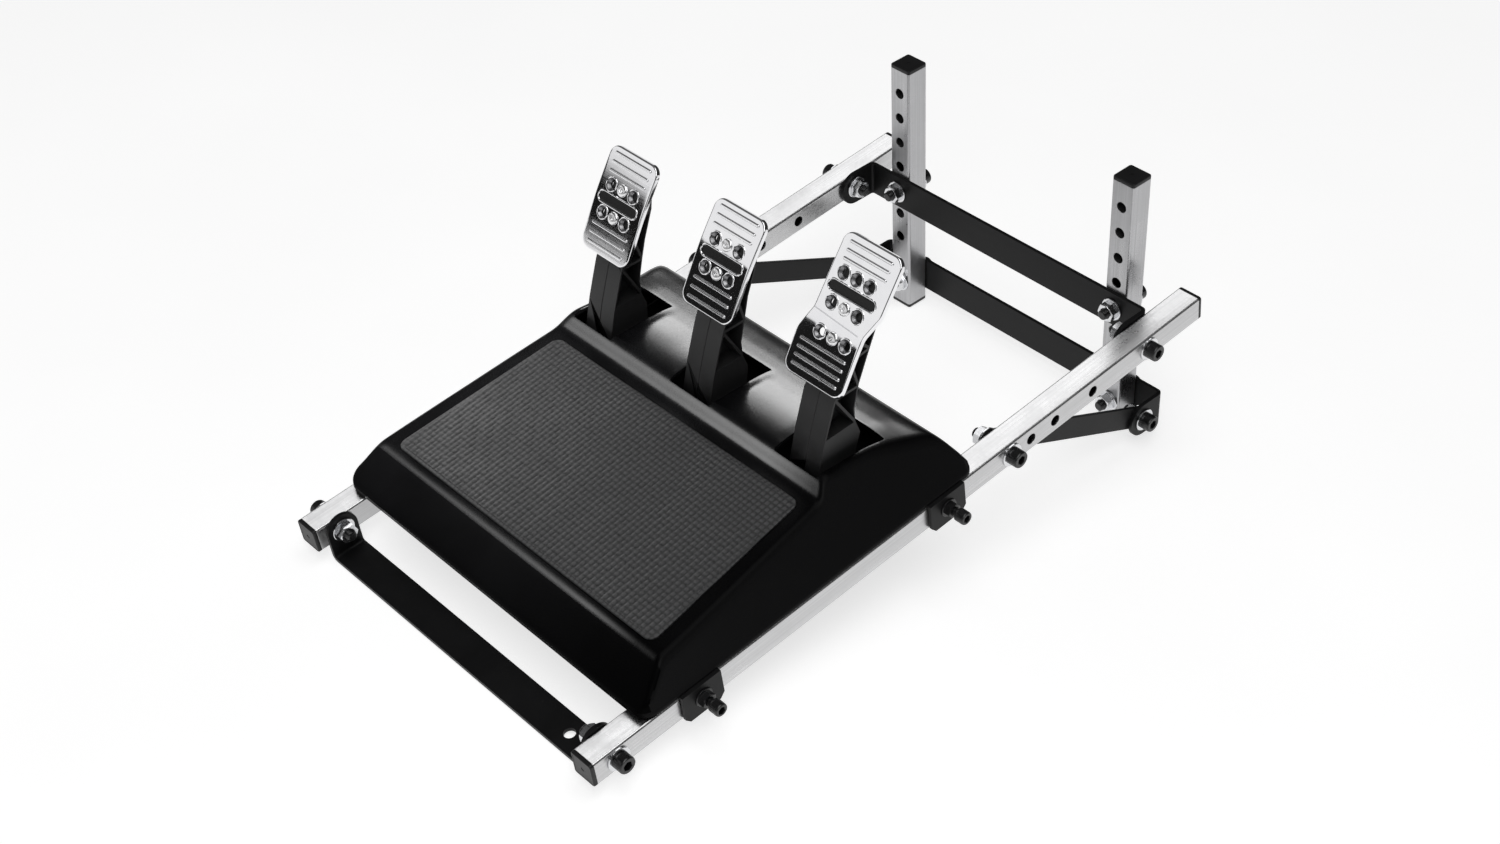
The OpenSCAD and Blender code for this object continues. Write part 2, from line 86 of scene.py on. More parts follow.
def noise_tex(nt, vec, scale, detail=4.0, rough=0.55, dist=0.0):
    n = nt.nodes.new("ShaderNodeTexNoise")
    n.inputs["Scale"].default_value = scale
    n.inputs["Detail"].default_value = detail
    n.inputs["Roughness"].default_value = rough
    n.inputs["Distortion"].default_value = dist
    nt.links.new(vec, n.inputs["Vector"])
    return n.outputs["Fac"]


def voronoi(nt, vec, scale, feature="F1"):
    n = nt.nodes.new("ShaderNodeTexVoronoi")
    n.feature = feature
    n.inputs["Scale"].default_value = scale
    nt.links.new(vec, n.inputs["Vector"])
    return n.outputs["Distance"]


def remap(nt, val, lo, hi, a=0.3, b=0.7):
    n = nt.nodes.new("ShaderNodeMapRange")
    n.inputs["From Min"].default_value = a
    n.inputs["From Max"].default_value = b
    n.inputs["To Min"].default_value = lo
    n.inputs["To Max"].default_value = hi
    nt.links.new(val, n.inputs["Value"])
    return n.outputs["Result"]


def math_node(nt, op, a, b):
    n = nt.nodes.new("ShaderNodeMath")
    n.operation = op
    for i, v in enumerate((a, b)):
        if isinstance(v, (int, float)):
            n.inputs[i].default_value = v
        else:
            nt.links.new(v, n.inputs[i])
    return n.outputs[0]


def mix_colour(nt, fac, c0, c1):
    n = nt.nodes.new("ShaderNodeMix")
    n.data_type = "RGBA"
    nt.links.new(fac, n.inputs["Factor"])
    for sock, c in ((n.inputs["A"], c0), (n.inputs["B"], c1)):
        pass
    cols = [s for s in n.inputs if s.type == "RGBA"]
    for sock, c in zip(cols, (c0, c1)):
        if isinstance(c, (tuple, list)):
            sock.default_value = (*c, 1)
        else:
            nt.links.new(c, sock)
    return [o for o in n.outputs if o.type == "RGBA"][0]


def bump(nt, height, strength, dist, prev=None):
    n = nt.nodes.new("ShaderNodeBump")
    n.inputs["Strength"].default_value = strength
    n.inputs["Distance"].default_value = dist
    nt.links.new(height, n.inputs["Height"])
    if prev is not None:
        nt.links.new(prev, n.inputs["Normal"])
    return n.outputs["Normal"]


def set_in(b, **kw):
    names = {"metallic": "Metallic", "ior": "IOR", "spec": "Specular IOR Level", "coat": "Coat Weight",
             "coat_rough": "Coat Roughness", "rough": "Roughness", "aniso": "Anisotropic"}
    for k, v in kw.items():
        b.inputs[names[k]].default_value = v


def plastic(name, base, rough, grain=0.35, grain_scale=1500.0, spec=0.5, spread=0.06, coat=0.0, dust=0.0, side=None):
    """Moulded plastic: fine spark-eroded grain, cloudy gloss, a little dust; with side given, the side walls get
    painted light.
    """
    m, nt, b = new_material(name)
    v = coords(nt)
    cloud = noise_tex(nt, v, 14, 5, 0.6, 0.4)
    fine = noise_tex(nt, v, grain_scale, 3, 0.6)
    pits = voronoi(nt, v, grain_scale * 0.7)
    hi = tuple(min(1, c * 1.35 + dust) for c in base)
    lo = tuple(c * 0.75 for c in base)
    col = mix_colour(nt, remap(nt, cloud, 0, 1), lo, hi)
    if side:
        # painted light: walls facing sideways take the lighter side colour, while the top keeps the base colour
        geo = nt.nodes.new("ShaderNodeNewGeometry")
        sep = nt.nodes.new("ShaderNodeSeparateXYZ")
        nt.links.new(geo.outputs["Normal"], sep.inputs[0])
        col = mix_colour(nt, remap(nt, math_node(nt, "ABSOLUTE", sep.outputs[0], 0.0), 0, 1, 0.35, 0.8), col, side)
        # and the gloss fades towards the right end, beyond the gas slot
        place = nt.nodes.new("ShaderNodeSeparateXYZ")
        nt.links.new(v, place.inputs[0])
        nt.links.new(remap(nt, place.outputs[0], spec, spec * 0.22, 0.084, 0.130), b.inputs["Specular IOR Level"])
    nt.links.new(col, b.inputs["Base Color"])
    r1 = remap(nt, cloud, rough - spread, rough + spread)
    r2 = remap(nt, fine, -0.04, 0.04)
    nt.links.new(math_node(nt, "ADD", r1, r2), b.inputs["Roughness"])
    n1 = bump(nt, fine, grain, 0.00006)
    n2 = bump(nt, pits, grain * 0.6, 0.00005, n1)
    nt.links.new(n2, b.inputs["Normal"])
    set_in(b, spec=spec, coat=coat, coat_rough=0.25)
    return m


def drawn_steel(name, base, rough, tilt, lo=0.72):
    """Zinc-coated drawn tube: long draw lines, spangle and soft stains."""
    m, nt, b = new_material(name)
    streak = noise_tex(nt, coords(nt, (900, 5, 900), tilt), 1.0, 4, 0.65)
    broad = noise_tex(nt, coords(nt, (60, 2.2, 60), tilt), 1.0, 3, 0.5)
    stain = noise_tex(nt, coords(nt), 22, 5, 0.6, 0.8)
    spangle = voronoi(nt, coords(nt), 420)
    dark = tuple(c * lo for c in base)
    c1 = mix_colour(nt, remap(nt, streak, 0, 1), dark, base)
    c2 = mix_colour(nt, remap(nt, stain, 0, 1, 0.35, 0.75), c1, tuple(c * 0.84 for c in base))
    nt.links.new(c2, b.inputs["Base Color"])
    r = math_node(nt, "ADD", remap(nt, broad, rough - 0.07, rough + 0.07), remap(nt, stain, -0.05, 0.08))
    r = math_node(nt, "ADD", r, remap(nt, spangle, -0.03, 0.03, 0.0, 0.7))
    nt.links.new(r, b.inputs["Roughness"])
    n1 = bump(nt, streak, 0.22, 0.00005)
    n2 = bump(nt, broad, 0.25, 0.0003, n1)
    nt.links.new(n2, b.inputs["Normal"])
    set_in(b, metallic=1.0)
    return m


def coated_steel(name, base, rough, spec=0.5):
    """Powder-coated flat steel: orange peel, fine speckle, slight rubbing."""
    m, nt, b = new_material(name)
    v = coords(nt)
    peel = noise_tex(nt, v, 700, 3, 0.5)
    speck = noise_tex(nt, v, 3200, 2, 0.5)
    cloud = noise_tex(nt, v, 18, 5, 0.65, 0.6)
    rub = noise_tex(nt, coords(nt, (240, 30, 240)), 1.0, 6, 0.7)
    c1 = mix_colour(nt, remap(nt, cloud, 0, 1), tuple(c * 0.7 for c in base), tuple(c * 1.3 for c in base))
    c2 = mix_colour(nt, remap(nt, rub, 0, 1, 0.66, 0.8), c1, tuple(c * 2.2 + 0.01 for c in base))
    nt.links.new(c2, b.inputs["Base Color"])
    r = math_node(nt, "ADD", remap(nt, cloud, rough - 0.05, rough + 0.06), remap(nt, rub, 0, 0.1, 0.6, 0.85))
    nt.links.new(r, b.inputs["Roughness"])
    n1 = bump(nt, peel, 0.35, 0.00012)
    n2 = bump(nt, speck, 0.25, 0.00003, n1)
    nt.links.new(n2, b.inputs["Normal"])
    set_in(b, spec=spec)
    return m


def bright_metal(name, base, rough, tint=None, brush=None, scratch=0.0):
    """Plated or polished metal with fine handling marks."""
    m, nt, b = new_material(name)
    v = coords(nt)
    cloud = noise_tex(nt, v, 60, 4, 0.6, 0.5)
    fine = noise_tex(nt, coords(nt, brush or (1, 1, 1)), 1.0 if brush else 900.0, 3, 0.6)
    c = mix_colour(nt, remap(nt, cloud, 0, 1), tint or tuple(x * 0.86 for x in base), base)
    nt.links.new(c, b.inputs["Base Color"])
    r = math_node(nt, "ADD", remap(nt, cloud, rough * 0.75, rough * 1.35), remap(nt, fine, -rough * 0.2, rough * 0.3))
    nt.links.new(r, b.inputs["Roughness"])
    n1 = bump(nt, fine, 0.06 + scratch, 0.00002)
    nt.links.new(n1, b.inputs["Normal"])
    set_in(b, metallic=1.0)
    return m


MAT_M = RAIL @ T((0, 75, 51.1)) @ Matrix.Rotation(math.atan(0.08), 4, "X")
P = 4.2


def mat_rubber(name):
    """Woven-look footrest: the weave is in the mesh; here its worn tops over valleys darkened as painted shade."""
    m, nt, b = new_material(name)
    v = coords(nt)
    inv = MAT_M.inverted()
    sep = nt.nodes.new("ShaderNodeSeparateXYZ")
    nt.links.new(v, sep.inputs[0])
    across = math_node(nt, "MULTIPLY", sep.outputs[0], 1000 * math.pi / P)
    along = math_node(nt, "ADD", math_node(nt, "MULTIPLY", sep.outputs[1], 1000 * inv[1][1] * math.pi / P),
                      math_node(nt, "MULTIPLY", sep.outputs[2], 1000 * inv[1][2] * math.pi / P))
    along = math_node(nt, "ADD", along, inv[1][3] * math.pi / P)
    weave_shade_mask = math_node(nt, "MULTIPLY", math_node(nt, "ABSOLUTE", math_node(nt, "SINE", across, 0.0), 0.0),
                     math_node(nt, "ABSOLUTE", math_node(nt, "SINE", along, 0.0), 0.0))
    cloud = noise_tex(nt, v, 16, 5, 0.6, 0.5)
    fine = noise_tex(nt, v, 2600, 3, 0.6)
    worn = noise_tex(nt, v, 5, 4, 0.6, 1.0)
    c1 = mix_colour(nt, remap(nt, cloud, 0, 1), (0.019, 0.019, 0.0195), (0.029, 0.029, 0.030))
    c2 = mix_colour(nt, remap(nt, worn, 0, 1, 0.45, 0.8), c1, (0.040, 0.040, 0.041))
    # painted shade: the weave's valleys are darkened towards near black
    c3 = mix_colour(nt, remap(nt, weave_shade_mask, 0, 1, 0.15, 0.7), (0.005, 0.005, 0.0055), c2)
    nt.links.new(c3, b.inputs["Base Color"])
    nt.links.new(remap(nt, cloud, 0.48, 0.66), b.inputs["Roughness"])
    nt.links.new(bump(nt, fine, 0.5, 0.00006), b.inputs["Normal"])
    set_in(b, spec=0.45)
    return m


WORLD_TILT = -(LEAN + PITCH)
M_RAIL = drawn_steel("rail_steel", (0.66, 0.66, 0.665), 0.28, WORLD_TILT)
M_POST = drawn_steel("post_steel", (0.52, 0.52, 0.53), 0.31, rad(90) - LEAN)
M_BORE = drawn_steel("tube_inside", (0.07, 0.07, 0.07), 0.5, WORLD_TILT)
M_CAP = plastic("cap_black", (0.010, 0.010, 0.0105), 0.42, 0.4, 1100, 0.3)
M_BLACK = coated_steel("bar_black", (0.0065, 0.0065, 0.0068), 0.42, 0.16)
M_BOLT = coated_steel("bolt_black", (0.006, 0.006, 0.0065), 0.28, 0.5)
M_ZINC = bright_metal("zinc_bright", (0.80, 0.80, 0.81), 0.17, (0.62, 0.63, 0.65), None, 0.06)
# painted light: the side colour makes the shell's side walls lighter than its top
M_BOX = plastic("box_black", (0.0009, 0.0009, 0.0010), 0.26, 0.10, 1700, 0.13, 0.04, side=(0.0070, 0.0070, 0.0072))
# painted shade: a copy of the box plastic with its gloss nearly removed keeps the front faces darker
M_FRONT_SHADED = plastic("box_front_shaded", (0.0009, 0.0009, 0.0010), 0.38, 0.18, 1700, 0.015, 0.04)
M_FLOOR = plastic("box_floor_black", (0.012, 0.012, 0.013), 0.55, 0.4, 900, 0.3)
M_INNER = plastic("inner_black", (0.012, 0.012, 0.012), 0.5, 0.3, 1100, 0.3)
M_PIN = bright_metal("pin_steel", (0.62, 0.62, 0.64), 0.22)
M_MAT = mat_rubber("footrest_rubber")
M_ARM = plastic("arm_black", (0.017, 0.017, 0.0175), 0.45, 0.45, 1250, 0.40, 0.05)
M_PLATE = bright_metal("polished_aluminium", (0.88, 0.88, 0.89), 0.05, (0.83, 0.83, 0.85), (30, 1200, 1200), 0.02)
# painted shade: the walls inside the plates' holes are painted dark
M_HOLE_SHADE = bright_metal("dished_hole", (0.20, 0.20, 0.205), 0.30, (0.30, 0.30, 0.31))
M_SCREW = bright_metal("screw_steel", (0.90, 0.90, 0.91), 0.22)
M_INLAY = plastic("inlay_black", (0.004, 0.004, 0.0042), 0.30, 0.2, 1900, 0.35)


# ---------------------------------------------------------------- mesh helpers
def loft(bm, rings, cap0=True, cap1=True):
    """Joins rings of equal length with quads; the caps are n-gons."""
    vs = [[bm.verts.new(p) for p in r] for r in rings]
    n = len(vs[0])
    for a, b in zip(vs, vs[1:]):
        for i in range(n):
            j = (i + 1) % n
            bm.faces.new((a[i], a[j], b[j], b[i]))
    if cap0:
        bm.faces.new(list(reversed(vs[0])))
    if cap1:
        bm.faces.new(vs[-1])
    return vs


def close_loft(bm, rings):
    vs = [[bm.verts.new(p) for p in r] for r in rings]
    n = len(vs[0])
    for a, b in zip(vs, vs[1:] + vs[:1]):
        for i in range(n):
            j = (i + 1) % n
            bm.faces.new((a[i], a[j], b[j], b[i]))


def rsq(half, r, seg, z):
    """Rounded square, anticlockwise, at height z."""
    pts = []
    for cx, cy, a0 in ((1, 1, 0), (-1, 1, 90), (-1, -1, 180), (1, -1, 270)):
        for k in range(seg + 1):
            a = rad(a0 + 90 * k / seg)
            pts.append((cx * (half - r) + r * math.cos(a), cy * (half - r) + r * math.sin(a), z))
    return pts


def circle(r, n, z, phase=0.0):
    return [(r * math.cos(2 * math.pi * i / n + phase), r * math.sin(2 * math.pi * i / n + phase), z) for i in range(n)]


def hexagon(af, n, z, grow=0.0):
    pts = []
    for i in range(n):
        a = 2 * math.pi * i / n
        k = (a % (math.pi / 3)) - math.pi / 6
        r = (af / 2) / math.cos(k) + grow
        pts.append((r * math.cos(a), r * math.sin(a), z))
    return pts


def add_copy(dst, src, matrix):
    """Adds src's faces to dst under a matrix; a mirrored copy has its faces turned."""
    flip = matrix.determinant() < 0
    vs = [dst.verts.new(matrix @ v.co) for v in src.verts]
    for i, v in enumerate(src.verts):
        v.index = i
    for f in src.faces:
        idx = [v.index for v in f.verts]
        if flip:
            idx.reverse()
        dst.faces.new([vs[i] for i in idx]).material_index = f.material_index


def temp(bm, name):
    me = bpy.data.meshes.new(name)
    bmesh.ops.recalc_face_normals(bm, faces=bm.faces)
    bm.to_mesh(me)
    bm.free()
    ob = bpy.data.objects.new(name, me)
    COLL.objects.link(ob)
    return ob


def cut(bm, cutters):
    """bm minus each cutter, exactly."""
    a = temp(bm, "tmp_a")
    tools = [temp(c, "tmp_b") for c in cutters]
    for t in tools:
        mod = a.modifiers.new("cut", "BOOLEAN")
        mod.operation = "DIFFERENCE"
        mod.solver = "EXACT"
        mod.object = t
    bpy.context.view_layer.update()
    me = bpy.data.meshes.new_from_object(a.evaluated_get(bpy.context.evaluated_depsgraph_get()))
    out = bmesh.new()
    out.from_mesh(me)
    bpy.data.meshes.remove(me)
    for o in [a, *tools]:
        d = o.data
        bpy.data.objects.remove(o)
        bpy.data.meshes.remove(d)
    return out


def bevel(bm, width, seg=2, angle=35.0, pick=None, profile=0.5):
    bm.normal_update()
    edges = []
    for e in bm.edges:
        if len(e.link_faces) == 2 and e.calc_face_angle(0.0) > rad(angle) and (pick is None or pick(e)):
            edges.append(e)
    if edges:
        bmesh.ops.bevel(bm, geom=edges, offset=width, offset_type="OFFSET", segments=seg, profile=profile,
                        affect="EDGES", clamp_overlap=True, loop_slide=True)


def cylinder_bm(r, z0, z1, n=40):
    bm = bmesh.new()
    loft(bm, [circle(r, n, z0), circle(r, n, z1)])
    return bm


def prism(points, z0, z1):
    bm = bmesh.new()
    loft(bm, [[(x, y, z0) for x, y in points], [(x, y, z1) for x, y in points]])
    return bm


def piece(bm, name, mats, body="stand", nodes=(), sharp=32.0, weighted=True):
    bmesh.ops.transform(bm, matrix=TO_M, verts=bm.verts)
    bm.normal_update()
    me = bpy.data.meshes.new(name)
    bm.to_mesh(me)
    bm.free()
    for m in mats if isinstance(mats, (list, tuple)) else [mats]:
        me.materials.append(m)
    me.polygons.foreach_set("use_smooth", [True] * len(me.polygons))
    me.set_sharp_from_angle(angle=rad(sharp))
    ob = bpy.data.objects.new(name, me)
    COLL.objects.link(ob)
    if weighted:
        w = ob.modifiers.new("weighted", "WEIGHTED_NORMAL")
        w.keep_sharp = True
        w.weight = 60
    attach(ob, body)
    if nodes:
        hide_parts(*nodes)
    return ob


def from_node(name):
    """A copy of a CAD node's mesh in millimetres, with its flat faces made whole again."""
    bm = bmesh.new()
    bm.from_mesh(NODES[name].data)
    bmesh.ops.transform(bm, matrix=Matrix.Scale(1000, 4), verts=bm.verts)
    bmesh.ops.remove_doubles(bm, verts=bm.verts, dist=0.003)
    bmesh.ops.dissolve_limit(bm, angle_limit=rad(0.7), verts=bm.verts, edges=bm.edges)
    return bm


def dress(node, mat):
    ob = NODES[node]
    ob.data.materials.clear()
    ob.data.materials.append(mat)
    for s in ob.material_slots:
        s.material = mat


# ---------------------------------------------------------------- tubes and caps
def tube_bm(length, holes):
    """Square tube along +Z with rounded corners; the holes run along X."""
    bm = bmesh.new()
    close_loft(bm, [rsq(10, 1.9, 5, 0), rsq(10, 1.9, 5, length), rsq(8.5, 0.8, 5, length), rsq(8.5, 0.8, 5, 0)])
    cutter = bmesh.new()
    for z in holes:
        c = cylinder_bm(HOLE_R, -14, 14, 36)
        add_copy(cutter, c, T((0, 0, z)) @ RY)
        c.free()
    bm = cut(bm, [cutter])
    bevel(bm, 0.32, 2, 50)
    for f in bm.faces:
        if all(max(abs(v.co.x), abs(v.co.y)) < 8.6 for v in f.verts):
            f.material_index = 1
    return bm


def cap_bm():
    """Push-in cap, flange below z = 0, plug above."""
    bm = bmesh.new()
    loft(bm, [rsq(8.0, 1.0, 5, -2.70), rsq(8.3, 1.2, 5, -2.72), rsq(8.9, 1.3, 5, -2.98), rsq(9.35, 1.5, 5, -2.95),
              rsq(9.75, 1.75, 5, -2.7), rsq(9.97, 1.9, 5, -2.2), rsq(10.0, 1.9, 5, -1.5), rsq(10.0, 1.9, 5, -0.25),
              rsq(9.85, 1.8, 5, 0.0), rsq(8.4, 0.8, 5, 0.0), rsq(8.4, 0.8, 5, 7.0), rsq(7.9, 0.8, 5, 8.0)])
    gate = bmesh.new()
    loft(gate, [circle(1.6, 24, -3.5), circle(1.6, 24, -2.45)])
    bm = cut(bm, [gate])
    return bm


rail_t = tube_bm(RAIL_LEN, RAIL_HOLES)
post_t = tube_bm(POST_H - 2 * CAP_T, [z - CAP_T for z in POST_HOLES + [LOWER_Z]])
cap_t = cap_bm()
# tube frames: local +Z along the tube, local X the holes' direction
rail_m = RAIL @ T((RAIL_OUT - 10, 0, 10)) @ RXM
post_m = UP @ T((POST_X, 10, CAP_T)) @ Matrix.Rotation(rad(90), 4, "Z")
for side, mir in (("right", Matrix.Identity(4)), ("left", FLIP)):
    b = bmesh.new()
    add_copy(b, rail_t, mir @ rail_m)
    piece(b, side + "_rail_tube", [M_RAIL, M_BORE], nodes=[side + "_rail"])
    b = bmesh.new()
    add_copy(b, post_t, mir @ post_m)
    piece(b, side + "_post_tube", [M_POST, M_BORE], nodes=[side + "_post"])
    b = bmesh.new()
    add_copy(b, cap_t, mir @ RAIL @ T((RAIL_OUT - 10, 0, 10)) @ RXM)
    add_copy(b, cap_t, mir @ RAIL @ T((RAIL_OUT - 10, RAIL_LEN, 10)) @ Matrix.Rotation(rad(90), 4, "X"))
    piece(b, side + "_rail_end_caps", M_CAP, nodes=[side + "_rail_caps"])
    b = bmesh.new()
    add_copy(b, cap_t, mir @ UP @ T((POST_X, 10, CAP_T)))
    add_copy(b, cap_t, mir @ UP @ T((POST_X, 10, POST_H - CAP_T)) @ Matrix.Rotation(rad(180), 4, "X"))
    piece(b, side + "_post_end_caps", M_CAP, nodes=[side + "_post_caps"])

# ---------------------------------------------------------------- flat bars
for n in ("front_crossbar", "upper_crossbar", "lower_crossbar", "left_brace", "right_brace", "clamp_brackets"):
    b = from_node(n)
    bevel(b, 0.45, 2, 40)
    piece(b, n + "_bent", M_BLACK, nodes=[n])


# ---------------------------------------------------------------- fasteners
def bolt_bm(length, r=4.0, head_r=6.5, head_h=8.0, af=6.0, socket=4.5, pitch=1.25, threaded=9.0):
    n = 48
    rings = [circle(r * 0.72, n, -length)]
    turns = threaded / pitch
    steps = int(turns * 6)
    for k in range(steps + 1):
        z = -length + 0.4 + k * pitch / 6
        ring = []
        for i in range(n):
            a = 2 * math.pi * i / n
            ph = (z / pitch - i / n) % 1.0
            tri = abs(ph - 0.5) * 2
            fade = min(1.0, k / 5 + 0.15, (steps - k) / 5 + 0.02)
            rr = r - 0.62 * fade * (1 - tri) - (0.35 * (1 - min(1, k / 4)))
            ring.append((rr * math.cos(a), rr * math.sin(a), z))
        rings.append(ring)
    rings.append(circle(r, n, -length + 0.4 + steps * pitch / 6 + 0.3))
    rings.append(circle(r, n, -0.3))
    rings.append(circle(r + 0.25, n, 0.0))
    rings.append(circle(head_r - 0.35, n, 0.0))
    rings.append(circle(head_r, n, 0.35))
    rings.append(circle(head_r, n, 0.9))
    knurl0, knurl1 = 1.1, head_h * 0.84
    for z in (knurl0, knurl1):
        rings.append([((head_r - (0.22 if i % 2 else 0.0)) * math.cos(2 * math.pi * i / n),
                       (head_r - (0.22 if i % 2 else 0.0)) * math.sin(2 * math.pi * i / n), z) for i in range(n)])
    rings.append(circle(head_r - 0.05, n, head_h * 0.86))
    rings.append(circle(head_r - 0.12, n, head_h - 0.75))
    rings.append(circle(head_r - 0.38, n, head_h - 0.25))
    rings.append(circle(head_r - 0.85, n, head_h))
    rings.append(hexagon(af, n, head_h, 0.45))
    rings.append(hexagon(af, n, head_h - 0.4, 0.02))
    rings.append(hexagon(af, n, head_h - socket))
    rings.append(circle(0.4, n, head_h - socket - 0.8))
    bm = bmesh.new()
    loft(bm, rings)
    return bm


def nut_bm(af=13.0, h=6.5, bore=4.05, washer=0.0):
    n = 72
    rings = [circle(bore, n, 0.55), circle(bore + 0.5, n, 0.0)]
    c = math.tan(rad(28))

    def corner(z_face, sgn):
        pts = []
        for p in hexagon(af, n, 0):
            r = math.hypot(p[0], p[1])
            pts.append((p[0], p[1], z_face + sgn * max(0.0, (r - af / 2 + 0.12)) * c))
        return pts

    rings.append(circle(af / 2 - 0.2, n, 0.0))
    rings.append(corner(0.0, 1))
    rings.append(corner(h, -1))
    rings.append(circle(af / 2 - 0.2, n, h))
    rings.append(circle(bore + 0.5, n, h))
    rings.append(circle(bore, n, h - 0.55))
    bm = bmesh.new()
    close_loft(bm, rings)
    return bm


def washer_bm(r=9.0, bore=4.1, h=1.6):
    n = 72
    bm = bmesh.new()
    close_loft(bm, [circle(bore, n, 0.25), circle(bore + 0.2, n, 0.0), circle(r - 0.35, n, 0.0), circle(r, n, 0.35),
                    circle(r, n, h - 0.45), circle(r - 0.3, n, h - 0.08), circle(r - 0.6, n, h),
                    circle(bore + 0.25, n, h), circle(bore, n, h - 0.3)])
    return bm


def spin(k):
    return Matrix.Rotation(rad((k * 47) % 60), 4, "Z")


def at_rail(x):
    return [m @ RAIL @ T((x, s, 10)) @ RY for m in (Matrix.Identity(4), FLIP) for s in (18.5, 381.0, 527.0)]


def at_tab(x):
    return [m @ UP @ T((x, TAB_Y, LOWER_Z)) @ RY for m in (Matrix.Identity(4), FLIP)]


def at_post(y, z):
    return [UP @ T((x, y, z)) @ RXM for x in (-POST_X, POST_X)]


def fasteners(name, shape, places, mat, node, sharp=32.0):
    b = bmesh.new()
    for k, (sh, m) in enumerate((sh, m) for sh, ms in zip(shape, places) for m in ms):
        add_copy(b, sh, m @ spin(k))
    piece(b, name, mat, nodes=[node], sharp=sharp)


long_bolt, short_bolt = bolt_bm(36.6), bolt_bm(19.6, threaded=8.0)
nut, washer = nut_bm(), washer_bm()
fasteners("rail_bolts_black", [long_bolt], [at_rail(RAIL_OUT + 1.6)], M_BOLT, "rail_bolts", 28)
fasteners("rail_washers_zinc", [washer], [at_rail(RAIL_OUT) + at_rail(RAIL_IN - BAR_T - 1.6)], M_ZINC, "rail_washers")
fasteners("rail_nuts_zinc", [nut], [at_rail(RAIL_IN - BAR_T - 8.1)], M_ZINC, "rail_nuts", 22)
fasteners("post_bolts_black", [long_bolt], [at_post(TUBE + 1.6, POST_HOLES[4]) + at_post(TUBE + BAR_T + 1.6, LOWER_Z)],
          M_BOLT, "post_bolts", 28)
fasteners("post_washers_zinc", [washer], [at_post(TUBE, POST_HOLES[4]) + at_post(-BAR_T - 1.6, POST_HOLES[4])
          + at_post(TUBE + BAR_T, LOWER_Z) + at_post(-1.6, LOWER_Z)], M_ZINC, "post_washers")
fasteners("post_nuts_zinc", [nut], [at_post(-BAR_T - 8.1, POST_HOLES[4]) + at_post(-8.1, LOWER_Z)], M_ZINC, "post_nuts", 22)
fasteners("brace_bolts_black", [short_bolt], [at_tab(RAIL_IN + BAR_T + 1.6)], M_BOLT, "brace_bolts", 28)
fasteners("brace_washers_zinc", [washer], [at_tab(RAIL_IN + BAR_T) + at_tab(RAIL_IN - BAR_T - 1.6)], M_ZINC, "brace_washers")
fasteners("brace_nuts_zinc", [nut], [at_tab(RAIL_IN - BAR_T - 8.1)], M_ZINC, "brace_nuts", 22)

CLAMP_S = (88.0, 314.0)
at_clamp = [m @ RAIL @ T((RAIL_OUT, s, 11)) @ RY for m in (Matrix.Identity(4), FLIP) for s in CLAMP_S]
b = bmesh.new()
src = bolt_bm(20.6, 3.0, 5.0, 8.0, 5.0, 3.5, 1.0, 14.0)
for k, m in enumerate(at_clamp):
    add_copy(b, src, m @ T((0, 0, 13)) @ spin(k))
bmesh.ops.delete(b, geom=[v for v in b.verts if abs(v.co.x) < RAIL_OUT - 0.2], context="VERTS")
bmesh.ops.holes_fill(b, edges=[e for e in b.edges if e.is_boundary], sides=60)
piece(b, "clamp_screws_black", M_BOLT, nodes=["clamp_screws"], sharp=28)
b = bmesh.new()
src = nut_bm(10.0, 6.0, 3.05)
flange = washer_bm(7.0, 3.05, 1.2)
for k, m in enumerate(at_clamp):
    add_copy(b, src, m @ T((0, 0, 3.5)) @ spin(k + 1))
    add_copy(b, flange, m @ T((0, 0, 3.5)))
piece(b, "clamp_nuts_black", M_BOLT, nodes=["clamp_nuts"], sharp=22)


# ---------------------------------------------------------------- pedal box
TOP_LINE = [(42, 26), (43, 28.3), (54, 37.2), (66, 47.2), (69, 49.6), (73, 51.4), (78, 51.9), (110, 54.4),
            (150, 57.6), (190, 60.8), (222, 63.3), (225, 63.9), (227, 65.1), (229, 67.1), (231, 69.3), (233, 71.3),
            (235, 72.8), (237.5, 73.9), (241, 74.5), (247, 74.8), (252, 74.8), (258, 74.5), (264, 74.0), (270, 73.2), (280, 71.4), (292, 68.2),
            (305, 64.2), (318, 59.2), (325, 55.8), (329, 53.0), (333, 48.2), (338, 39.2), (343, 29.2), (345, 26)]
SLOPE = [(42, 0.38), (75, 0.43), (150, 0.55), (220, 0.64), (345, 0.63)]
LIP = 25.5


def lerp_table(x, tab):
    if x <= tab[0][0]:
        return tab[0][1]
    for (x0, y0), (x1, y1) in zip(tab, tab[1:]):
        if x <= x1:
            return y0 + (y1 - y0) * (x - x0) / (x1 - x0)
    return tab[-1][1]


def smoothstep(t):
    t = max(0.0, min(1.0, t))
    return t * t * (3 - 2 * t)


def resample(line, step, sigma):
    """Points along a polyline at even steps, softened a little."""
    d = [0.0]
    for a, b in zip(line, line[1:]):
        d.append(d[-1] + math.dist(a, b))
    n = max(2, round(d[-1] / step))

    def at(t):
        t = max(0.0, min(d[-1], t))
        for i in range(len(d) - 1):
            if t <= d[i + 1]:
                k = (t - d[i]) / (d[i + 1] - d[i])
                return tuple(line[i][j] + (line[i + 1][j] - line[i][j]) * k for j in (0, 1))
        return line[-1]

    out = []
    for i in range(n + 1):
        t = d[-1] * i / n
        reach = min(sigma, t, d[-1] - t)
        acc, wsum = [0.0, 0.0], 0.0
        for k in range(-6, 7):
            w = math.exp(-0.5 * (k / 2.4) ** 2)
            p = at(t + reach * k / 3)
            acc[0] += w * p[0]
            acc[1] += w * p[1]
            wsum += w
        out.append((acc[0] / wsum, acc[1] / wsum))
    return out


def corner(d, r):
    return 0.0 if d >= r else r - math.sqrt(max(0.0, r * r - (r - d) ** 2))


def rim_half(s):
    return 163.5 - corner(s - 42, 12) - corner(345 - s, 10)


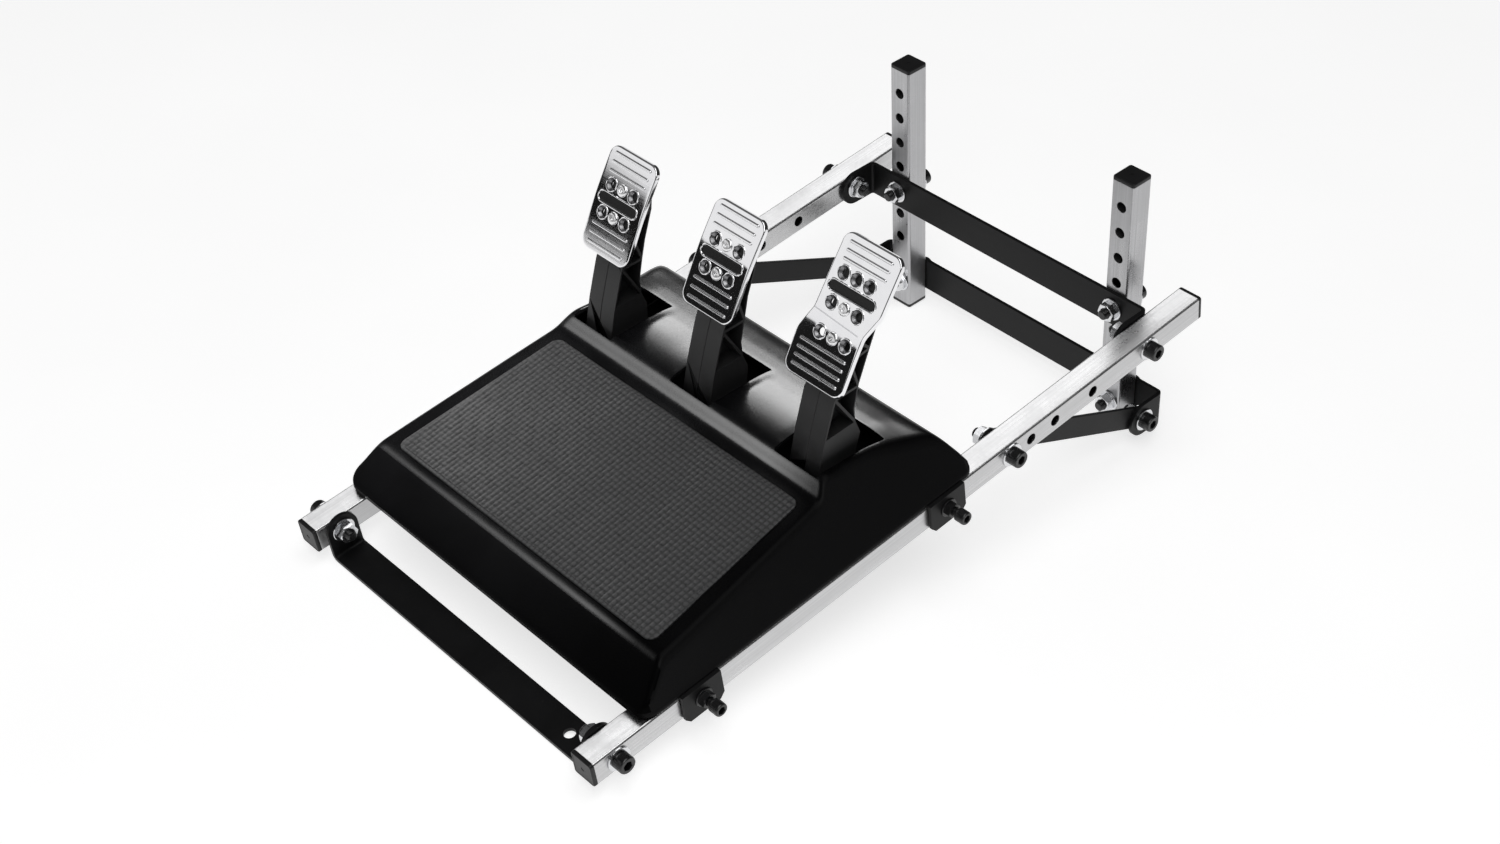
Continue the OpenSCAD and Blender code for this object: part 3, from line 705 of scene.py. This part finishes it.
def hump(x, s):
    """How far the top sinks beside the slots, in millimetres: a soft roll-off into each slot."""
    gate = smoothstep((s - 237) / 9) * (1 - smoothstep((s - 262) / 34))
    if gate <= 0:
        return 0.0
    for a, b in ((-106.0, 0.0), (0.0, 107.0)):
        lo, hi = a + 17.0, b - 16.0
        if lo <= x <= hi:
            wide = 10 + 12 * (1 - smoothstep((s - 240) / 26))
            rise = smoothstep((x - lo - 4) / wide)
            return gate * (2.2 * (1 - rise) + 0.6 * smoothstep((x - hi + 14) / 14))
    return gate * (1.0 if x < -106 else 1.2 * (0.4 + 0.6 * smoothstep((134 - x) / 14)))


def roll_off(x, s):
    """How far the top has rolled off towards the side walls."""
    return 3.2 * smoothstep((abs(x) - 108) / 36) * smoothstep((s - 238) / 16) * (1 - smoothstep((s - 300) / 30))


def section(s, nt, d, nx):
    w = rim_half(s) - d
    k = lerp_table(s, SLOPE)
    n = nt - d
    h = max(0.0, n - LIP)
    xt = w - k * h
    e = min(lerp_table(s, [(270, 6), (325, 10)]), max(0.2, h * 0.4))
    ln = math.hypot(1, k)
    a, c, b = (xt + k * e / ln, n - e / ln), (xt, n), (xt - e, n)
    right = [(w, 22.5 - (5 if d else 0)), (w, 23.2), (w, 24.6), (w - 0.35, 25.2), (w - 0.5, LIP - 0.02)]
    for i in range(1, 8):
        t = i / 8
        right.append((w - 0.5 + (a[0] - w + 0.5) * t, LIP + (a[1] - LIP) * t))
    for i in range(9):
        t = i / 8
        right.append(tuple(a[j] * (1 - t) ** 2 + 2 * c[j] * t * (1 - t) + b[j] * t * t for j in (0, 1)))
    top = []
    for i in range(1, nx):
        x = b[0] * (1 - 2 * i / nx)
        top.append((x, n))
    pts = right + top + [(-x, z) for x, z in reversed(right)]
    out = []
    for x, z in pts:
        edge = smoothstep((abs(b[0]) + 6 - abs(x)) / 8)
        up = max(0.0, min(1.0, (z - LIP) / max(1.0, n - LIP)))
        out.append((x, s, z - (hump(x, s) * edge if z > 40 else 0.0) - roll_off(x, s) * up * up))
    return out


def box_bm():
    line = resample(TOP_LINE, 1.9, 2.2)
    bm = bmesh.new()
    loft(bm, [section(s, n, 0.0, 104) for s, n in line])
    inner = [(s, n) for s, n in resample(TOP_LINE, 3.0, 3.0) if 48 < s < 339 and n - 3.2 > LIP + 1]
    room = bmesh.new()
    loft(room, [section(s, n, 3.2, 104) for s, n in inner])
    return bm, room


def rounded_poly(pts, r, seg=6):
    """A polygon, anticlockwise, with its corners rounded."""
    out = []
    n = len(pts)
    for i in range(n):
        p0, p, p1 = (Vector(pts[i - 1]), Vector(pts[i]), Vector(pts[(i + 1) % n]))
        u, v = (p0 - p).normalized(), (p1 - p).normalized()
        half = u.angle(v) / 2
        rr = r[i] if isinstance(r, (list, tuple)) else r
        if rr <= 0:
            out.append((p.x, p.y))
            continue
        t = rr / math.tan(half)
        c = p + (u + v).normalized() * (rr / math.sin(half))
        a0, a1 = p + u * t - c, p + v * t - c
        ang0, ang1 = math.atan2(a0.y, a0.x), math.atan2(a1.y, a1.x)
        while ang1 - ang0 > math.pi:
            ang1 -= 2 * math.pi
        while ang1 - ang0 < -math.pi:
            ang1 += 2 * math.pi
        for k in range(seg + 1):
            a = ang0 + (ang1 - ang0) * k / seg
            out.append((c.x + rr * math.cos(a), c.y + rr * math.sin(a)))
    return out


def inset(poly, d):
    """Moves an anticlockwise outline inwards by d."""
    n = len(poly)
    out = []
    for i in range(n):
        p0, p, p1 = Vector(poly[i - 1]), Vector(poly[i]), Vector(poly[(i + 1) % n])
        e0, e1 = (p - p0), (p1 - p)
        if e0.length < 1e-9 or e1.length < 1e-9:
            out.append((p.x, p.y))
            continue
        n0, n1 = Vector((-e0.y, e0.x)).normalized(), Vector((-e1.y, e1.x)).normalized()
        m = (n0 + n1)
        m.normalize()
        k = d / max(0.35, m.dot(n0))
        out.append((p.x + m.x * k, p.y + m.y * k))
    return out


MAT_PTS = [(-138.2, 0.2), (138.2, 0.2), (127.5, 142.8), (-127.5, 142.8)]
box, room = box_bm()
cutters = [room]
recess = prism(rounded_poly([(-138.7, -0.3), (138.7, -0.3), (128.0, 143.3), (-128.0, 143.3)], 7.5, 8), -0.06, 6)
bmesh.ops.transform(recess, matrix=RAIL.inverted() @ MAT_M, verts=recess.verts)
cutters.append(recess)
for x, s1 in ((-106.0, 291.5), (0.0, 291.5), (107.0, 295.5)):
    cutters.append(prism(rounded_poly([(x - 22, 234.4), (x + 19.5, 234.4), (x + 21.8, s1), (x - 22, s1)], 1.2, 3), 45, 90))
box = cut(box, cutters)
slots = [(x - 23, x + 23) for x in PEDAL_X]
bevel(box, 0.9, 3, 55, lambda e: all(233.2 < v.co.y < 296.5 and v.co.z > 50 and any(a < v.co.x < b for a, b in slots)
                                     for v in e.verts) and e.verts[0].co.z > 56)
bmesh.ops.transform(box, matrix=RAIL, verts=box.verts)
ob = piece(box, "pedal_box_shell", [M_BOX, M_FRONT_SHADED], nodes=["box_shell"], sharp=38, weighted=False)
# painted shade: faces at the front of the shell take the low-gloss copy
to_rail = RAIL.inverted()
for poly in ob.data.polygons:
    c = to_rail @ (poly.center * 1000)
    if c.y < 67.5 and poly.normal.y < -0.35 and c.z > 26:
        poly.material_index = 1

# footrest mat: a thin tray with a flat border and a woven field
outline = rounded_poly(MAT_PTS, 7.0, 8)
b = bmesh.new()
loft(b, [[(x, y, 0.0) for x, y in outline], [(x, y, 0.95) for x, y in outline],
         [(x, y, 1.25) for x, y in inset(outline, 0.25)], [(x, y, 1.40) for x, y in inset(outline, 0.75)]])
NXC, NYC, PX = 300, 154, 0.0
rows = []
for j in range(NYC + 1):
    y = 2.2 + (142.8 - 4.2) * j / NYC
    half = 138.2 + (127.5 - 138.2) * (y / 142.8) - 2.4
    row = []
    for i in range(NXC + 1):
        x = -half + 2 * half * i / NXC
        u, v = x / P, y / P
        iu, iv = math.floor(u), math.floor(v)
        fu, fv = u - iu, v - iv
        if (iu + iv) % 2:
            fu, fv = fv, fu
        hgt = (1 - abs(2 * fu - 1) ** 2.2) * (0.55 + 0.45 * (1 - abs(2 * fv - 1) ** 3))
        dx = half - abs(x)
        dy = min(y - 2.2, 140.8 - y)
        rc = 6.0
        if dx < rc and dy < rc:
            d = rc - math.hypot(rc - dx, rc - dy)
        else:
            d = min(dx, dy)
        m = smoothstep(d / 0.9)
        row.append(b.verts.new((x, y, 1.22 + m * (0.10 + 0.84 * hgt))))
    rows.append(row)
for r0, r1 in zip(rows, rows[1:]):
    for i in range(NXC):
        b.faces.new((r0[i], r0[i + 1], r1[i + 1], r1[i]))
bmesh.ops.transform(b, matrix=MAT_M, verts=b.verts)
piece(b, "footrest_weave", M_MAT, nodes=["footrest_mat"], sharp=60, weighted=False)


# ---------------------------------------------------------------- pedals
def plate_frame(x, c, t):
    return RAIL @ T((x, c[0], c[1])) @ Matrix.Rotation(rad(90 - t), 4, "X")


def sag(u, form):
    """How far the plate's face lies behind its flat: a soft bend about u0."""
    kind, u0, deg, w = form
    d = (u - u0) / w
    if kind == "both":
        return math.radians(deg) * w * math.log(math.cosh(d))
    return math.radians(deg) / 2 * w * math.log(1 + math.exp(max(-60.0, min(60.0, -2 * d))))


def bend(co, form):
    return Vector((co.x, co.y, co.z - sag(co.y, form)))


def capsule(x0, x1, y, z, r, h, n=12, m=5):
    """A raised rib with round ends, of half width r and height h, on the plane z."""
    bm = bmesh.new()
    rings = []
    for k in range(m + 1):
        a = rad(90) * k / m
        rr, hh = r * math.cos(a), h * math.sin(a)
        ring = []
        for i in range(n + 1):
            t = rad(-90 + 180 * i / n)
            ring.append((x1 + rr * math.cos(t), y + rr * math.sin(t), z + hh))
        for i in range(n + 1):
            t = rad(90 + 180 * i / n)
            ring.append((x0 + rr * math.cos(t), y + rr * math.sin(t), z + hh))
        rings.append(ring)
    rings.insert(0, [(p[0], p[1], z - 0.6) for p in rings[0]])
    rings[-1] = [(p[0], p[1], z + h) for p in rings[-2]] if False else rings[-1]
    loft(bm, rings[:-1], True, True)
    return bm


def ring_bm(x, y, n=48):
    """The bright raised lip round a dished hole."""
    bm = bmesh.new()
    prof = [(4.7, -1.0), (5.75, -1.0), (5.7, 0.05), (5.45, 0.36), (5.1, 0.46), (4.78, 0.34), (4.66, 0.0)]
    close_loft(bm, [[(x + r * math.cos(2 * math.pi * i / n), y + r * math.sin(2 * math.pi * i / n), z) for i in range(n)] for r, z in prof])
    return bm


def stadium(x0, x1, y0, y1, grow, seg=10):
    r = (y1 - y0) / 2 + grow
    cy = (y0 + y1) / 2
    a, b = x0 + (y1 - y0) / 2, x1 - (y1 - y0) / 2
    pts = []
    for cx, a0 in ((b, -90), (a, 90)):
        for k in range(seg + 1):
            t = rad(a0 + 180 * k / seg)
            pts.append((cx + r * math.cos(t), cy + r * math.sin(t)))
    return pts


def lip_bm(box):
    """The bright raised lip round the badge slot."""
    bm = bmesh.new()
    prof = [(-0.05, -0.9), (1.25, -0.9), (1.2, 0.05), (0.95, 0.4), (0.6, 0.5), (0.25, 0.38), (0.0, 0.05)]
    close_loft(bm, [[(px, py, z) for px, py in stadium(*box, g)] for g, z in prof])
    return bm


def plate(name, body, x, c, t, outline, ribs, holes, screws, slot_box, form, u_range, crease=None):
    M = plate_frame(x, c, t)
    bm = bmesh.new()
    o = outline
    loft(bm, [[(px, py, z) for px, py in inset(o, g)] for g, z in
              ((0.5, -4.0), (0.0, -3.5), (0.0, -1.1), (0.08, -0.7), (0.28, -0.36), (0.58, -0.14), (0.95, -0.03), (1.4, 0.0))])
    cutter = bmesh.new()
    for hx, hu, r in holes:
        k = bmesh.new()
        if r > 2.8:
            loft(k, [circle(2.9, 40, -6), circle(2.9, 40, -2.3), circle(3.3, 40, -1.7), circle(5.0, 40, 0.05), circle(5.4, 40, 0.5)])
        else:
            loft(k, [circle(r, 40, -6), circle(r, 40, 0.5)])
        add_copy(cutter, k, T((hx, hu, 0)))
        k.free()
    if crease:
        for (cx0, cu0), (cx1, cu1) in [crease]:
            k = bmesh.new()
            loft(k, [[(cx0, cu0 - 0.75, 0.3), (cx0, cu0, -0.55), (cx0, cu0 + 0.35, 0.3)], [(cx1, cu1 - 0.75, 0.3), (cx1, cu1, -0.55), (cx1, cu1 + 0.35, 0.3)]])
            add_copy(cutter, k, Matrix.Identity(4))
            k.free()
    x0, x1, y0, y1 = slot_box
    pill = prism(stadium(*slot_box, -0.02), -0.95, 2)
    bm = cut(bm, [cutter, pill])
    bmesh.ops.triangulate(bm, faces=[f for f in bm.faces if len(f.verts) > 4])
    u = u_range[0]
    while u < u_range[1]:
        bmesh.ops.bisect_plane(bm, geom=bm.verts[:] + bm.edges[:] + bm.faces[:], plane_co=(0, u, 0), plane_no=(0, 1, 0), dist=1e-4)
        u += 2.0
    for x0r, x1r, y in ribs:
        k = capsule(x0r, x1r, y, 0.0, 1.2, 0.95)
        add_copy(bm, k, Matrix.Identity(4))
        k.free()
    for hx, hu, r in holes:
        if r > 2.8:
            k = ring_bm(hx, hu)
            add_copy(bm, k, Matrix.Identity(4))
            k.free()
    k = lip_bm(slot_box)
    add_copy(bm, k, Matrix.Identity(4))
    k.free()
    # painted shade: faces inside the holes take the dark hole material
    for f in bm.faces:
        mid = f.calc_center_median()
        if mid.z < -0.12 and any(math.hypot(mid.x - hx, mid.y - hu) < 4.95 for hx, hu, _ in holes):
            f.material_index = 1
    for v in bm.verts:
        v.co = bend(v.co, form)
    bmesh.ops.transform(bm, matrix=M, verts=bm.verts)
    piece(bm, name + "_plate_polished", [M_PLATE, M_HOLE_SHADE], body=body, nodes=[name + "_plate"], sharp=30)
    # the slot's plain black inlay
    bm = bmesh.new()
    loft(bm, [[(a, b_, z) for a, b_ in stadium(*slot_box, g)] for g, z in ((-0.25, -0.95), (-0.25, -0.5), (-0.5, -0.34), (-1.2, -0.3))])
    for v in bm.verts:
        v.co = bend(v.co, form)
    bmesh.ops.transform(bm, matrix=M, verts=bm.verts)
    piece(bm, name + "_plate_inlay", M_INLAY, body=body, sharp=30)
    # screws
    bm = bmesh.new()
    for k, su in enumerate(screws):
        n = 48
        s = bmesh.new()
        loft(s, [circle(2.5, n, -13), circle(2.5, n, -0.2), circle(4.45, n, -0.2), circle(4.7, n, 0.05), circle(4.68, n, 0.35), circle(4.45, n, 0.8),
                 circle(3.9, n, 1.2), circle(3.1, n, 1.5), circle(2.3, n, 1.6), hexagon(3.0, n, 1.6, 0.2), hexagon(3.0, n, 1.4), hexagon(3.0, n, 0.4), circle(0.3, n, 0.1)])
        add_copy(bm, s, T((0, su, -sag(su, form))) @ spin(k))
        s.free()
    bmesh.ops.transform(bm, matrix=M, verts=bm.verts)
    piece(bm, name + "_plate_screws", M_SCREW, body=body, nodes=[name + "_screws"], sharp=30)


SHORT = rounded_poly([(-24.5, -40), (25.5, -40), (25.5, 37.5), (-24.5, 37.5)], 8.0, 8)
LONG = rounded_poly([(-31, -56), (22.8, -56), (22.6, -11.3), (29.2, 6), (29.2, 47.5), (-23.6, 47.5), (-24.3, -8.3), (-31, -26)],
                    [7.5, 7.5, 14, 14, 8, 8, 12, 12], 8)
short_ribs = [(-17.5, 18.5, u) for u in (19.5, 26, 32.5, -20, -27, -34)]
short_holes = [(sx * 11.7, u, 3.0) for u in (10.5, -10.5) for sx in (-1, 1)] + [(0, u, 2.6) for u in (10.5, -10.5)]
long_ribs = [(-16, 21, u) for u in (29.5, 35.5, 41.5)] + [(-24, 16, u) for u in (-31, -37, -43, -49)]
long_holes = [(sx * 11.8, u, 3.0) for u in (21, 0, -21) for sx in (-1, 1)] + [(0, 21, 3.0), (0, 0, 2.6), (0, -21, 2.6)]
plate("clutch", "clutch_pedal", PEDAL_X[0], *CLUTCH, SHORT, short_ribs, short_holes, (10.5, -10.5), (-20, 20, -3.6, 3.6), ("both", -2.3, 2.6, 9.0), (-39, 37))
plate("brake", "brake_pedal", PEDAL_X[1], *BRAKE, SHORT, short_ribs, short_holes, (10.5, -10.5), (-20, 20, -3.6, 3.6), ("both", 3.6, 2.6, 9.0), (-39, 37))
plate("gas", "gas_pedal", PEDAL_X[2], *GAS, LONG, long_ribs, long_holes, (0, -21), (-20, 22, 7, 14), ("foot", -18.8, 4.2, 7.0), (-55, 46), ((-25.5, -8.0), (18.5, -11.0)))

for name, px_, (c_, t_), g_ in (("clutch", PEDAL_X[0], CLUTCH, -1), ("brake", PEDAL_X[1], BRAKE, 0), ("gas", PEDAL_X[2], GAS, 2)):
    b = from_node(name + "_arm")
    bmesh.ops.transform(b, matrix=RAIL.inverted(), verts=b.verts)
    tr = rad(t_)
    foot = (c_[0] - 31 * math.sin(tr) + 10.2 * math.cos(tr), c_[1] - 31 * math.cos(tr) - 10.2 * math.sin(tr))
    edge = [(238.4 + g_, 64), (240.8 + g_, 71), (246.6 + g_, 88), (252.8 + g_, 103), (258.8 + g_, 117), foot]
    groove = bmesh.new()
    loft(groove, [[(px_ - 0.9, s - 0.6, n), (px_ + 0.9, s - 0.6, n), (px_, s + 0.6, n)] for s, n in edge])
    b = cut(b, [groove])
    bmesh.ops.transform(b, matrix=RAIL, verts=b.verts)
    bevel(b, 0.35, 2, 42)
    piece(b, name + "_arm_ribbed", M_ARM, body=name + "_pedal", nodes=[name + "_arm"], sharp=30)

dress("box_floor", M_FLOOR)
dress("pivot_stands", M_INNER)
dress("pivot_pins", M_PIN)

# ---------------------------------------------------------------- camera
az, el, roll = 0.8691131878148962, 0.6928781396222004, -0.06053874371341906
back = Vector((math.sin(az) * math.cos(el), -math.cos(az) * math.cos(el), math.sin(el)))
right = Vector((math.cos(az), math.sin(az), 0))
up = back.cross(right)
r2 = right * math.cos(roll) + up * math.sin(roll)
u2 = -right * math.sin(roll) + up * math.cos(roll)
pos = Vector((975.70, -1091.00, 1155.94))
rot = Matrix.Rotation(LEAN, 3, "X")
r2, u2, back, pos = rot @ r2, rot @ u2, rot @ back, rot @ pos + Vector((0, SHIFT_Y, 0))
cam_data = bpy.data.cameras.new("camera")
cam_data.sensor_width = 36.0
cam_data.lens = 55.389
cam_data.clip_start = 0.05
cam_data.clip_end = 60
cam = bpy.data.objects.new("camera", cam_data)
COLL.objects.link(cam)
cam.matrix_world = Matrix(((r2.x, u2.x, back.x, pos.x / 1000), (r2.y, u2.y, back.y, pos.y / 1000),
                           (r2.z, u2.z, back.z, pos.z / 1000), (0, 0, 0, 1)))
bpy.context.scene.camera = cam

# ---------------------------------------------------------------- floor and light
me = bpy.data.meshes.new("studio_floor")
S = 14.0
me.from_pydata([(-S, -S, 0), (S, -S, 0), (S, S, 0), (-S, S, 0)], [], [(0, 1, 2, 3)])
floor = bpy.data.objects.new("studio_floor", me)
COLL.objects.link(floor)
fm, nt, pb = new_material("floor_pale")
fn = noise_tex(nt, coords(nt), 3, 3, 0.5)
nt.links.new(mix_colour(nt, remap(nt, fn, 0, 1), (0.56, 0.56, 0.56), (0.60, 0.60, 0.60)), pb.inputs["Base Color"])
pb.inputs["Emission Color"].default_value = (1, 1, 1, 1)
pb.inputs["Emission Strength"].default_value = 0.69
set_in(pb, rough=0.9, spec=0.05)
me.materials.append(fm)

world = bpy.data.worlds.new("studio")
bpy.context.scene.world = world
world.use_nodes = True
nt = world.node_tree
bg = nt.nodes["Background"]
outw = nt.nodes["World Output"]
tc = nt.nodes.new("ShaderNodeTexCoord")
sep = nt.nodes.new("ShaderNodeSeparateXYZ")
nt.links.new(tc.outputs["Generated"], sep.inputs[0])
X, Y, Z = sep.outputs


def ramp(val, a, b, lo, hi):
    n = nt.nodes.new("ShaderNodeMapRange")
    n.interpolation_type = "SMOOTHSTEP"
    n.inputs["From Min"].default_value = a
    n.inputs["From Max"].default_value = b
    n.inputs["To Min"].default_value = lo
    n.inputs["To Max"].default_value = hi
    nt.links.new(val, n.inputs["Value"])
    return n.outputs["Result"]


# a bright wall to the left front above a dark skirting; a dim room with a soft ceiling elsewhere
ahead = math_node(nt, "ADD", math_node(nt, "MULTIPLY", X, -0.59), math_node(nt, "MULTIPLY", Y, -0.80))
sector = ramp(ahead, 0.60, 0.78, 0.0, 1.0)
wall = math_node(nt, "MULTIPLY", ramp(Z, 0.146, 0.156, 0.010, 0.92), ramp(Z, 0.36, 0.46, 1.0, 0.08))
rest = ramp(Z, 0.25, 0.85, 0.03, 0.13)
val = math_node(nt, "ADD", math_node(nt, "MULTIPLY", sector, wall),
                math_node(nt, "MULTIPLY", math_node(nt, "SUBTRACT", 1.0, sector), rest))
comb = nt.nodes.new("ShaderNodeCombineColor")
for i in range(3):
    nt.links.new(val, comb.inputs[i])
nt.links.new(comb.outputs[0], bg.inputs["Color"])
bg.inputs["Strength"].default_value = 1.0
plain = nt.nodes.new("ShaderNodeBackground")
plain.inputs["Color"].default_value = (1, 1, 1, 1)
plain.inputs["Strength"].default_value = 1.0
lp = nt.nodes.new("ShaderNodeLightPath")
mixs = nt.nodes.new("ShaderNodeMixShader")
nt.links.new(lp.outputs["Is Camera Ray"], mixs.inputs[0])
nt.links.new(bg.outputs[0], mixs.inputs[1])
nt.links.new(plain.outputs[0], mixs.inputs[2])
nt.links.new(mixs.outputs[0], outw.inputs["Surface"])


def area(name, loc, aim, size, power, lit=None, spread=180):
    """A softbox; with lit given it lights only those pieces."""
    d = bpy.data.lights.new(name, "AREA")
    d.shape = "RECTANGLE"
    d.size, d.size_y = size
    d.energy = power
    d.spread = rad(spread)
    o = bpy.data.objects.new(name, d)
    COLL.objects.link(o)
    o.location = loc
    o.visible_camera = False
    o.rotation_euler = (Vector(aim) - Vector(loc)).to_track_quat("-Z", "Y").to_euler()
    if lit:
        c = bpy.data.collections.new(name + "_lit")
        for ob in lit:
            c.objects.link(ob)
        o.light_linking.receiver_collection = c


def made_of(*mats):
    return [o for o in COLL.objects if o.type == "MESH" and o.data.materials and o.data.materials[0] in mats]


area("key_back_left", (-1.30, 1.42, 1.50), (0.0, 0.05, 0.08), (1.1, 0.8), 74, made_of(M_BOX))
area("key_arms", (-1.30, 1.42, 1.50), (0.0, 0.05, 0.08), (1.1, 0.8), 40, made_of(M_ARM))
area("metal_sky", (-1.50, 0.95, 2.10), (0.0, 0.0, 0.1), (2.6, 2.0), 26, made_of(M_RAIL, M_POST, M_ZINC, M_SCREW))
area("ridge_strip", (-0.250, -0.370, 0.285), (-0.250, -0.0725, 0.12), (0.48, 0.15), 3.1, made_of(M_BOX), 95)
area("mat_left", (-0.42, -0.14, 0.32), (0.0, -0.18, 0.08), (0.34, 0.34), 1.3, made_of(M_MAT))
area("fill_front_right", (1.5, -1.6, 2.6), (0, 0, 0.1), (1.5, 1.5), 24)
area("top", (0.5, -0.3, 3.1), (0, 0, 0), (2.0, 2.0), 28)

bpy.context.scene.view_settings.view_transform = "Standard"
